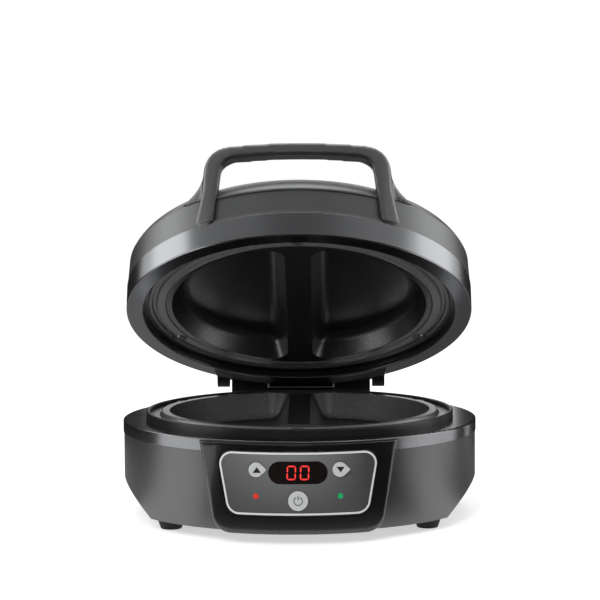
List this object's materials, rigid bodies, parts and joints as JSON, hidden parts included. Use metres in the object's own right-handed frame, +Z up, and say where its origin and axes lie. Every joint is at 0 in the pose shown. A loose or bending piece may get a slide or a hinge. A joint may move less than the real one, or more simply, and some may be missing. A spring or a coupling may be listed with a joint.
{
  "type": "electric omelette maker",
  "caption": "Round countertop omelette maker with a hinged domed lid, twin half-round non-stick cavities, an arched front handle and a push-button console with a display.",
  "frame": {"origin": "on the table, under the centre of the round base", "axes": "+Z up, +X to the right seen from the front, -Y towards the user and +Y towards the hinge; the lid rests 31 degrees open"},
  "size_m": [0.26, 0.2894, 0.2739],
  "materials": {
    "housing": "grey metallic moulding",
    "console_body": "gloss dark grey moulding",
    "polished_steel": "polished sheet",
    "collar": "satin black moulding",
    "bottom_cover": "fine textured moulding",
    "rubber_feet": "matte",
    "nonstick_plate": "die casting with black non-stick coating",
    "lid_dome": "silver grey satin moulding",
    "handle": "grey metallic moulding",
    "hinge_bracket": "black glass-filled moulding",
    "hinge_pin": "drawn rod",
    "fasteners": "zinc plated",
    "element": "heat tinted sheath",
    "heat_shield": "aluminised pressing",
    "thermostat": "ceramic body",
    "bushing": "matte",
    "frame_chrome": "bright plated trim",
    "panel": "silver grey with clear coat",
    "window": "dark tinted acrylic",
    "display": "two-digit display block",
    "circuit_board": "green solder mask",
    "component_black": "moulded case",
    "component_blue": "moulded case",
    "transformer": "laminated core",
    "capacitor": "sleeved can",
    "button": "silver plated caps",
    "switch": "tact switch",
    "led_red": "red lens",
    "led_green": "green lens"
  },
  "bodies": {
    "base": {"base_bottom_cover": "bottom_cover", "base_bracket_screws": "fasteners", "base_collar": "collar", "base_hinge_bracket": "hinge_bracket", "base_shell": "housing", "base_trim_ring": "polished_steel", "chrome_frame": "frame_chrome", "console_housing": "console_body", "console_screws": "fasteners", "control_board": "circuit_board", "control_board_screws": "fasteners", "control_panel": "panel", "cord_inlet_bushing": "bushing", "display_module": "display", "display_window": "window", "down_switch": "switch", "filter_capacitor": "capacitor", "foot_screws": "fasteners", "hinge_pin": "hinge_pin", "lower_heat_shield": "heat_shield", "lower_heating_element": "element", "lower_plate": "nonstick_plate", "lower_plate_screws": "fasteners", "lower_thermostat": "thermostat", "power_board": "circuit_board", "power_board_screws": "fasteners", "power_led": "led_red", "ready_led": "led_green", "relay": "component_blue", "rubber_foot_front_left": "rubber_feet", "rubber_foot_front_right": "rubber_feet", "rubber_foot_rear_left": "rubber_feet", "rubber_foot_rear_right": "rubber_feet", "start_switch": "switch", "terminal_block": "component_black", "transformer": "transformer", "up_switch": "switch"},
    "lid": {"lid_shell": "lid_dome", "lid_trim_ring": "polished_steel", "lid_handle": "handle", "handle_screws": "fasteners", "upper_plate": "nonstick_plate", "upper_plate_screws": "fasteners", "upper_heating_element": "element", "upper_heat_shield": "heat_shield", "upper_thermostat": "thermostat", "lid_hinge_bracket": "hinge_bracket", "lid_bracket_screws": "fasteners"},
    "up_button": {"up_button": "button"},
    "down_button": {"down_button": "button"},
    "start_button": {"start_button": "button"}
  },
  "joints": [
    {"name": "lid_hinge", "type": "hinge", "parent": "base", "child": "lid", "pos_m": [0, 0.14, 0.084], "axis": [-1, 0, 0], "range_deg": [-31, 64]},
    {"name": "up_press", "type": "slide", "parent": "base", "child": "up_button", "axis": [0, 1, 0], "range_m": [0, 0.0008], "stiffness_N_per_m": 1200},
    {"name": "down_press", "type": "slide", "parent": "base", "child": "down_button", "axis": [0, 1, 0], "range_m": [0, 0.0008], "stiffness_N_per_m": 1200},
    {"name": "start_press", "type": "slide", "parent": "base", "child": "start_button", "axis": [0, 1, 0], "range_m": [0, 0.0008], "stiffness_N_per_m": 1200}
  ]
}
